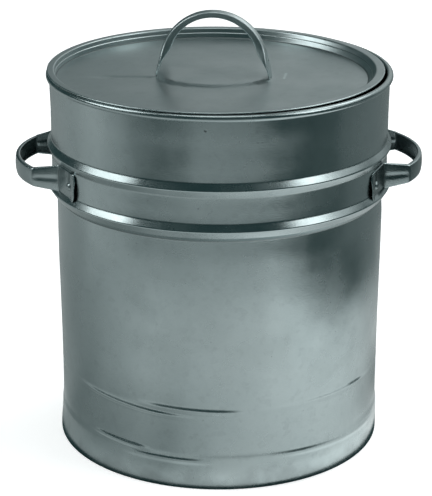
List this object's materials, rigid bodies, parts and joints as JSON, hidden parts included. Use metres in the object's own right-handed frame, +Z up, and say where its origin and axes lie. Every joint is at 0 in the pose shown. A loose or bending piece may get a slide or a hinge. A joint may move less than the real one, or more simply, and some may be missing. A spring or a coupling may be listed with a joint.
{
  "type": "oily waste can",
  "caption": "Round sheet-steel waste can with a drop-on lid, folded strap handles at both sides and an arched strap handle on the lid.",
  "frame": {"origin": "on the floor at the centre of the can", "axes": "+Z up along the can; the two side handles lie along X; the usual view is from -Y"},
  "size_m": [0.376, 0.317, 0.4042],
  "materials": {
    "wall_sheet": "smooth galvanised sheet, satin",
    "bottom_sheet": "smooth galvanised sheet, satin",
    "lid_sheet": "smooth galvanised sheet, satin, lightly scratched",
    "side_strap": "galvanised strip, darkened by handling",
    "lid_strap": "galvanised strip, worn bright at its feet",
    "rivet": "tinned steel rivet",
    "rim_wire": "plain drawn wire"
  },
  "bodies": {
    "can": {"body_shell": "wall_sheet", "rim_wire": "rim_wire", "bottom_pan": "bottom_sheet", "handle_left": "side_strap", "handle_right": "side_strap", "rivet_left_front": "rivet", "rivet_left_rear": "rivet", "rivet_right_front": "rivet", "rivet_right_rear": "rivet"},
    "lid": {"lid_pan": "lid_sheet", "lid_handle": "lid_strap"}
  },
  "joints": [
    {"name": "lid_lift", "type": "slide", "parent": "can", "child": "lid", "axis": [0, 0, 1], "range_m": [0, 0.12]}
  ]
}
